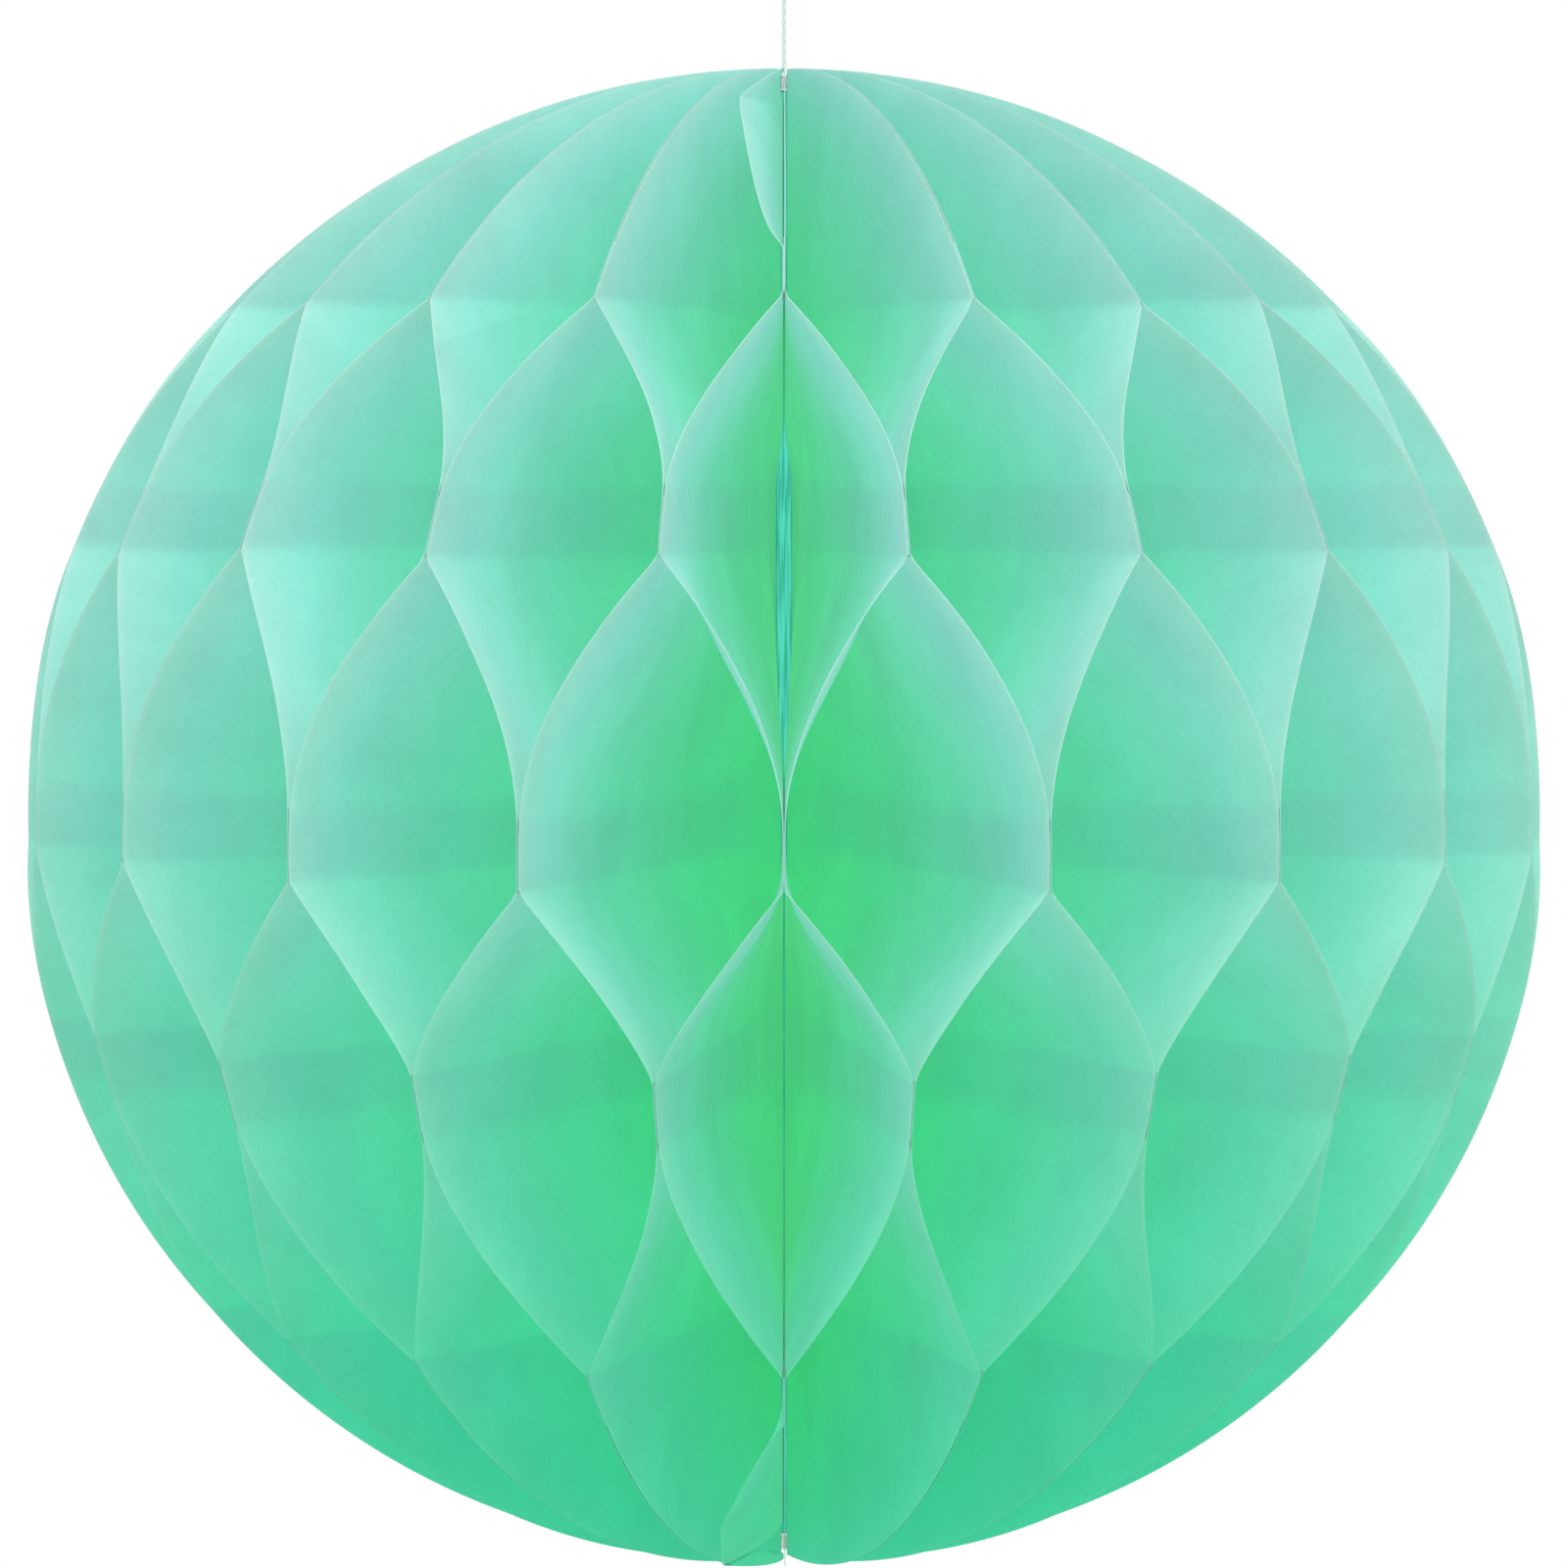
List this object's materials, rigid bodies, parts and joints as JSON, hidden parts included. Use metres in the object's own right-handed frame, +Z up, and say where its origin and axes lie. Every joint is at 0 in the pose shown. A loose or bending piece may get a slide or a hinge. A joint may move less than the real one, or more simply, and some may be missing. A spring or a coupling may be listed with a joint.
{
  "type": "paper honeycomb ball",
  "caption": "Round hanging decoration of tissue leaves glued into a honeycomb, which folds flat round its spine and hangs on a thread.",
  "frame": {"origin": "inner top of the hanging loop, where it lies on a hook", "axes": "+Z up along the thread and the spine; -Y is the side with the seam between the last leaf and the first; the hanging loop lies in the XZ plane"},
  "size_m": [0.2006, 0.2006, 0.2491],
  "materials": {
    "tissue": "thin dyed tissue, matt",
    "spine": "bound tissue edges with dried glue",
    "thread": "twisted light grey thread",
    "tape": "clear double-sided adhesive"
  },
  "bodies": {
    "loop": {"hanging_loop": "thread"},
    "loop_knot": {"loop_knot": "thread"},
    "thread": {"hanging_thread": "thread"},
    "spine": {"spine": "spine", "top_knot": "thread", "bottom_knot": "thread", "leaf_01": "tissue"},
    "leaf_02": {"leaf_02": "tissue"},
    "leaf_03": {"leaf_03": "tissue"},
    "leaf_04": {"leaf_04": "tissue"},
    "leaf_05": {"leaf_05": "tissue"},
    "leaf_06": {"leaf_06": "tissue"},
    "leaf_07": {"leaf_07": "tissue"},
    "leaf_08": {"leaf_08": "tissue"},
    "leaf_09": {"leaf_09": "tissue"},
    "leaf_10": {"leaf_10": "tissue"},
    "leaf_11": {"leaf_11": "tissue"},
    "leaf_12": {"leaf_12": "tissue"},
    "leaf_13": {"leaf_13": "tissue"},
    "leaf_14": {"leaf_14": "tissue"},
    "leaf_15": {"leaf_15": "tissue"},
    "leaf_16": {"leaf_16": "tissue"},
    "leaf_17": {"leaf_17": "tissue"},
    "leaf_18": {"leaf_18": "tissue"},
    "leaf_19": {"leaf_19": "tissue"},
    "leaf_20": {"leaf_20": "tissue"},
    "leaf_21": {"leaf_21": "tissue"},
    "leaf_22": {"leaf_22": "tissue"},
    "leaf_23": {"leaf_23": "tissue"},
    "leaf_24": {"leaf_24": "tissue"},
    "leaf_25": {"leaf_25": "tissue"},
    "leaf_26": {"leaf_26": "tissue"},
    "leaf_27": {"leaf_27": "tissue"},
    "leaf_28": {"leaf_28": "tissue"},
    "leaf_29": {"leaf_29": "tissue"},
    "leaf_30": {"leaf_30": "tissue"},
    "leaf_31": {"leaf_31": "tissue"},
    "leaf_32": {"leaf_32": "tissue"},
    "leaf_33": {"leaf_33": "tissue"},
    "leaf_34": {"leaf_34": "tissue"},
    "leaf_35": {"leaf_35": "tissue"},
    "leaf_36": {"leaf_36": "tissue"},
    "leaf_37": {"leaf_37": "tissue"},
    "leaf_38": {"leaf_38": "tissue"},
    "leaf_39": {"leaf_39": "tissue"},
    "leaf_40": {"leaf_40": "tissue"},
    "closing_edge": {"seam_tape": "tape"}
  },
  "joints": [
    {"name": "swing_side", "type": "hinge", "parent": "loop", "child": "loop_knot", "pos_m": [0, 0, -0.0211], "axis": [0, 1, 0], "range_deg": [-45, 45]},
    {"name": "swing_front", "type": "hinge", "parent": "loop_knot", "child": "thread", "pos_m": [0, 0, -0.0211], "axis": [1, 0, 0], "range_deg": [-45, 45]},
    {"name": "spin", "type": "hinge", "parent": "thread", "child": "spine", "pos_m": [0, 0, -0.0525], "axis": [0, 0, 1], "continuous": true},
    {"name": "fold_01", "type": "hinge", "parent": "spine", "child": "leaf_02", "pos_m": [0, 0, -0.15035], "axis": [0, 0, 1], "range_deg": [-8.9, 0], "deforming": ["leaf_01"]},
    {"name": "fold_02", "type": "hinge", "parent": "leaf_02", "child": "leaf_03", "pos_m": [0, 0, -0.15035], "axis": [0, 0, 1], "range_deg": [-8.9, 0], "deforming": ["leaf_02"]},
    {"name": "fold_03", "type": "hinge", "parent": "leaf_03", "child": "leaf_04", "pos_m": [0, 0, -0.15035], "axis": [0, 0, 1], "range_deg": [-8.9, 0], "deforming": ["leaf_03"]},
    {"name": "fold_04", "type": "hinge", "parent": "leaf_04", "child": "leaf_05", "pos_m": [0, 0, -0.15035], "axis": [0, 0, 1], "range_deg": [-8.9, 0], "deforming": ["leaf_04"]},
    {"name": "fold_05", "type": "hinge", "parent": "leaf_05", "child": "leaf_06", "pos_m": [0, 0, -0.15035], "axis": [0, 0, 1], "range_deg": [-8.9, 0], "deforming": ["leaf_05"]},
    {"name": "fold_06", "type": "hinge", "parent": "leaf_06", "child": "leaf_07", "pos_m": [0, 0, -0.15035], "axis": [0, 0, 1], "range_deg": [-8.9, 0], "deforming": ["leaf_06"]},
    {"name": "fold_07", "type": "hinge", "parent": "leaf_07", "child": "leaf_08", "pos_m": [0, 0, -0.15035], "axis": [0, 0, 1], "range_deg": [-8.9, 0], "deforming": ["leaf_07"]},
    {"name": "fold_08", "type": "hinge", "parent": "leaf_08", "child": "leaf_09", "pos_m": [0, 0, -0.15035], "axis": [0, 0, 1], "range_deg": [-8.9, 0], "deforming": ["leaf_08"]},
    {"name": "fold_09", "type": "hinge", "parent": "leaf_09", "child": "leaf_10", "pos_m": [0, 0, -0.15035], "axis": [0, 0, 1], "range_deg": [-8.9, 0], "deforming": ["leaf_09"]},
    {"name": "fold_10", "type": "hinge", "parent": "leaf_10", "child": "leaf_11", "pos_m": [0, 0, -0.15035], "axis": [0, 0, 1], "range_deg": [-8.9, 0], "deforming": ["leaf_10"]},
    {"name": "fold_11", "type": "hinge", "parent": "leaf_11", "child": "leaf_12", "pos_m": [0, 0, -0.15035], "axis": [0, 0, 1], "range_deg": [-8.9, 0], "deforming": ["leaf_11"]},
    {"name": "fold_12", "type": "hinge", "parent": "leaf_12", "child": "leaf_13", "pos_m": [0, 0, -0.15035], "axis": [0, 0, 1], "range_deg": [-8.9, 0], "deforming": ["leaf_12"]},
    {"name": "fold_13", "type": "hinge", "parent": "leaf_13", "child": "leaf_14", "pos_m": [0, 0, -0.15035], "axis": [0, 0, 1], "range_deg": [-8.9, 0], "deforming": ["leaf_13"]},
    {"name": "fold_14", "type": "hinge", "parent": "leaf_14", "child": "leaf_15", "pos_m": [0, 0, -0.15035], "axis": [0, 0, 1], "range_deg": [-8.9, 0], "deforming": ["leaf_14"]},
    {"name": "fold_15", "type": "hinge", "parent": "leaf_15", "child": "leaf_16", "pos_m": [0, 0, -0.15035], "axis": [0, 0, 1], "range_deg": [-8.9, 0], "deforming": ["leaf_15"]},
    {"name": "fold_16", "type": "hinge", "parent": "leaf_16", "child": "leaf_17", "pos_m": [0, 0, -0.15035], "axis": [0, 0, 1], "range_deg": [-8.9, 0], "deforming": ["leaf_16"]},
    {"name": "fold_17", "type": "hinge", "parent": "leaf_17", "child": "leaf_18", "pos_m": [0, 0, -0.15035], "axis": [0, 0, 1], "range_deg": [-8.9, 0], "deforming": ["leaf_17"]},
    {"name": "fold_18", "type": "hinge", "parent": "leaf_18", "child": "leaf_19", "pos_m": [0, 0, -0.15035], "axis": [0, 0, 1], "range_deg": [-8.9, 0], "deforming": ["leaf_18"]},
    {"name": "fold_19", "type": "hinge", "parent": "leaf_19", "child": "leaf_20", "pos_m": [0, 0, -0.15035], "axis": [0, 0, 1], "range_deg": [-8.9, 0], "deforming": ["leaf_19"]},
    {"name": "fold_20", "type": "hinge", "parent": "leaf_20", "child": "leaf_21", "pos_m": [0, 0, -0.15035], "axis": [0, 0, 1], "range_deg": [-8.9, 0], "deforming": ["leaf_20"]},
    {"name": "fold_21", "type": "hinge", "parent": "leaf_21", "child": "leaf_22", "pos_m": [0, 0, -0.15035], "axis": [0, 0, 1], "range_deg": [-8.9, 0], "deforming": ["leaf_21"]},
    {"name": "fold_22", "type": "hinge", "parent": "leaf_22", "child": "leaf_23", "pos_m": [0, 0, -0.15035], "axis": [0, 0, 1], "range_deg": [-8.9, 0], "deforming": ["leaf_22"]},
    {"name": "fold_23", "type": "hinge", "parent": "leaf_23", "child": "leaf_24", "pos_m": [0, 0, -0.15035], "axis": [0, 0, 1], "range_deg": [-8.9, 0], "deforming": ["leaf_23"]},
    {"name": "fold_24", "type": "hinge", "parent": "leaf_24", "child": "leaf_25", "pos_m": [0, 0, -0.15035], "axis": [0, 0, 1], "range_deg": [-8.9, 0], "deforming": ["leaf_24"]},
    {"name": "fold_25", "type": "hinge", "parent": "leaf_25", "child": "leaf_26", "pos_m": [0, 0, -0.15035], "axis": [0, 0, 1], "range_deg": [-8.9, 0], "deforming": ["leaf_25"]},
    {"name": "fold_26", "type": "hinge", "parent": "leaf_26", "child": "leaf_27", "pos_m": [0, 0, -0.15035], "axis": [0, 0, 1], "range_deg": [-8.9, 0], "deforming": ["leaf_26"]},
    {"name": "fold_27", "type": "hinge", "parent": "leaf_27", "child": "leaf_28", "pos_m": [0, 0, -0.15035], "axis": [0, 0, 1], "range_deg": [-8.9, 0], "deforming": ["leaf_27"]},
    {"name": "fold_28", "type": "hinge", "parent": "leaf_28", "child": "leaf_29", "pos_m": [0, 0, -0.15035], "axis": [0, 0, 1], "range_deg": [-8.9, 0], "deforming": ["leaf_28"]},
    {"name": "fold_29", "type": "hinge", "parent": "leaf_29", "child": "leaf_30", "pos_m": [0, 0, -0.15035], "axis": [0, 0, 1], "range_deg": [-8.9, 0], "deforming": ["leaf_29"]},
    {"name": "fold_30", "type": "hinge", "parent": "leaf_30", "child": "leaf_31", "pos_m": [0, 0, -0.15035], "axis": [0, 0, 1], "range_deg": [-8.9, 0], "deforming": ["leaf_30"]},
    {"name": "fold_31", "type": "hinge", "parent": "leaf_31", "child": "leaf_32", "pos_m": [0, 0, -0.15035], "axis": [0, 0, 1], "range_deg": [-8.9, 0], "deforming": ["leaf_31"]},
    {"name": "fold_32", "type": "hinge", "parent": "leaf_32", "child": "leaf_33", "pos_m": [0, 0, -0.15035], "axis": [0, 0, 1], "range_deg": [-8.9, 0], "deforming": ["leaf_32"]},
    {"name": "fold_33", "type": "hinge", "parent": "leaf_33", "child": "leaf_34", "pos_m": [0, 0, -0.15035], "axis": [0, 0, 1], "range_deg": [-8.9, 0], "deforming": ["leaf_33"]},
    {"name": "fold_34", "type": "hinge", "parent": "leaf_34", "child": "leaf_35", "pos_m": [0, 0, -0.15035], "axis": [0, 0, 1], "range_deg": [-8.9, 0], "deforming": ["leaf_34"]},
    {"name": "fold_35", "type": "hinge", "parent": "leaf_35", "child": "leaf_36", "pos_m": [0, 0, -0.15035], "axis": [0, 0, 1], "range_deg": [-8.9, 0], "deforming": ["leaf_35"]},
    {"name": "fold_36", "type": "hinge", "parent": "leaf_36", "child": "leaf_37", "pos_m": [0, 0, -0.15035], "axis": [0, 0, 1], "range_deg": [-8.9, 0], "deforming": ["leaf_36"]},
    {"name": "fold_37", "type": "hinge", "parent": "leaf_37", "child": "leaf_38", "pos_m": [0, 0, -0.15035], "axis": [0, 0, 1], "range_deg": [-8.9, 0], "deforming": ["leaf_37"]},
    {"name": "fold_38", "type": "hinge", "parent": "leaf_38", "child": "leaf_39", "pos_m": [0, 0, -0.15035], "axis": [0, 0, 1], "range_deg": [-8.9, 0], "deforming": ["leaf_38"]},
    {"name": "fold_39", "type": "hinge", "parent": "leaf_39", "child": "leaf_40", "pos_m": [0, 0, -0.15035], "axis": [0, 0, 1], "range_deg": [-8.9, 0], "deforming": ["leaf_39"]},
    {"name": "fold_40", "type": "hinge", "parent": "leaf_40", "child": "closing_edge", "pos_m": [0, 0, -0.15035], "axis": [0, 0, 1], "range_deg": [-8.9, 0], "deforming": ["leaf_40"]}
  ],
  "couplings": [
    {"joint": "fold_02", "follows": "fold_01", "ratio": 1},
    {"joint": "fold_03", "follows": "fold_01", "ratio": 1},
    {"joint": "fold_04", "follows": "fold_01", "ratio": 1},
    {"joint": "fold_05", "follows": "fold_01", "ratio": 1},
    {"joint": "fold_06", "follows": "fold_01", "ratio": 1},
    {"joint": "fold_07", "follows": "fold_01", "ratio": 1},
    {"joint": "fold_08", "follows": "fold_01", "ratio": 1},
    {"joint": "fold_09", "follows": "fold_01", "ratio": 1},
    {"joint": "fold_10", "follows": "fold_01", "ratio": 1},
    {"joint": "fold_11", "follows": "fold_01", "ratio": 1},
    {"joint": "fold_12", "follows": "fold_01", "ratio": 1},
    {"joint": "fold_13", "follows": "fold_01", "ratio": 1},
    {"joint": "fold_14", "follows": "fold_01", "ratio": 1},
    {"joint": "fold_15", "follows": "fold_01", "ratio": 1},
    {"joint": "fold_16", "follows": "fold_01", "ratio": 1},
    {"joint": "fold_17", "follows": "fold_01", "ratio": 1},
    {"joint": "fold_18", "follows": "fold_01", "ratio": 1},
    {"joint": "fold_19", "follows": "fold_01", "ratio": 1},
    {"joint": "fold_20", "follows": "fold_01", "ratio": 1},
    {"joint": "fold_21", "follows": "fold_01", "ratio": 1},
    {"joint": "fold_22", "follows": "fold_01", "ratio": 1},
    {"joint": "fold_23", "follows": "fold_01", "ratio": 1},
    {"joint": "fold_24", "follows": "fold_01", "ratio": 1},
    {"joint": "fold_25", "follows": "fold_01", "ratio": 1},
    {"joint": "fold_26", "follows": "fold_01", "ratio": 1},
    {"joint": "fold_27", "follows": "fold_01", "ratio": 1},
    {"joint": "fold_28", "follows": "fold_01", "ratio": 1},
    {"joint": "fold_29", "follows": "fold_01", "ratio": 1},
    {"joint": "fold_30", "follows": "fold_01", "ratio": 1},
    {"joint": "fold_31", "follows": "fold_01", "ratio": 1},
    {"joint": "fold_32", "follows": "fold_01", "ratio": 1},
    {"joint": "fold_33", "follows": "fold_01", "ratio": 1},
    {"joint": "fold_34", "follows": "fold_01", "ratio": 1},
    {"joint": "fold_35", "follows": "fold_01", "ratio": 1},
    {"joint": "fold_36", "follows": "fold_01", "ratio": 1},
    {"joint": "fold_37", "follows": "fold_01", "ratio": 1},
    {"joint": "fold_38", "follows": "fold_01", "ratio": 1},
    {"joint": "fold_39", "follows": "fold_01", "ratio": 1},
    {"joint": "fold_40", "follows": "fold_01", "ratio": 1}
  ]
}
